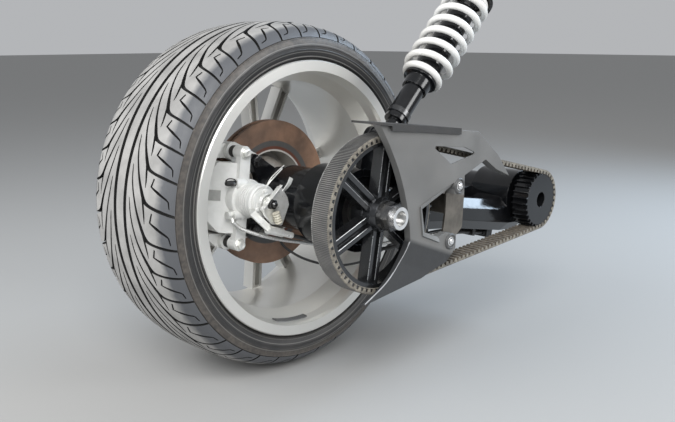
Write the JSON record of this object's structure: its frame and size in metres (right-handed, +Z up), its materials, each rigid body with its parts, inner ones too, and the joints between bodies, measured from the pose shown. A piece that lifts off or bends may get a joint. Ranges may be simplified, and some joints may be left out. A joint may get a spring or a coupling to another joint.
{
  "type": "rear wheel and swing arm unit",
  "caption": "Belt-driven rear wheel on a single-sided swing arm with disc brake, coil-over unit, toothed belt, pulleys and belt guard.",
  "frame": {"origin": "the swing arm's pivot axis where it crosses the wheel's centre plane", "axes": "+X forward, +Y along the pivot away from the belt side, +Z up"},
  "size_m": [0.9738, 0.4835, 0.7816],
  "materials": {
    "tyre_rubber": "matte, dusty tread",
    "rim_silver": "satin silver paint",
    "hub_steel": "dull steel, light rust",
    "bright_steel": "bright plated",
    "cap_plastic": "dark moulded plastic",
    "disc_iron": "rusty brown faces",
    "gloss_black": "gloss black",
    "dark_steel": "black oxide",
    "belt_rubber": "ribbed back, worn edges",
    "seal_rubber": "matte",
    "bronze": "dull",
    "spring_white": "white powder coat",
    "zinc_steel": "zinc plated",
    "cast_aluminium": "as cast",
    "pad_lining": "matte",
    "braided_hose": "braided steel",
    "cable_sheath": "black sheath",
    "guard_plastic": "grained matte grey",
    "bracket_metal": "bronze-grey metal"
  },
  "bodies": {
    "swing_arm": {"swing_arm": "gloss_black", "bearing_carrier": "gloss_black", "axle_bearings": "seal_rubber", "pivot_bushes": "bronze", "drive_belt": "belt_rubber", "shock_damper": "gloss_black", "shock_collar": "dark_steel", "shock_lower_seat": "gloss_black", "shock_spring": "spring_white", "shock_rod": "bright_steel", "shock_upper_mount": "gloss_black", "shock_bolt": "zinc_steel", "caliper_bracket": "cast_aluminium", "brake_caliper": "cast_aluminium", "slide_pins": "zinc_steel", "slide_boots": "seal_rubber", "brake_pads": "pad_lining", "park_lever": "zinc_steel", "park_spring": "zinc_steel", "cable_stop": "zinc_steel", "hose_banjo": "zinc_steel", "bleed_nipple": "dark_steel", "brake_hose": "braided_hose", "park_cable": "cable_sheath", "sensor_wire": "cable_sheath", "cable_clips": "cap_plastic", "cord_connectors": "cap_plastic", "belt_guard": "guard_plastic", "guard_cap": "cap_plastic", "guard_bracket": "bracket_metal", "guard_bolts": "dark_steel"},
    "wheel": {"tyre": "tyre_rubber", "rim": "rim_silver", "wheel_hub": "hub_steel", "lug_nuts": "bright_steel", "centre_cap": "cap_plastic", "brake_disc": "disc_iron", "axle_shaft": "hub_steel", "driven_pulley": "gloss_black", "axle_collar": "dark_steel", "axle_nut": "dark_steel", "lock_ring": "bright_steel"},
    "drive_pulley": {"drive_pulley": "gloss_black"}
  },
  "joints": [
    {"name": "wheel_spin", "type": "hinge", "parent": "swing_arm", "child": "wheel", "pos_m": [-0.55919, 0, 0.055], "axis": [0, 1, 0], "continuous": true, "deforming": ["drive_belt"]},
    {"name": "drive_pulley_spin", "type": "hinge", "parent": "swing_arm", "child": "drive_pulley", "pos_m": [0, 0, 0], "axis": [0, 1, 0], "continuous": true}
  ],
  "couplings": [
    {"joint": "drive_pulley_spin", "follows": "wheel_spin", "ratio": 2.1333}
  ]
}
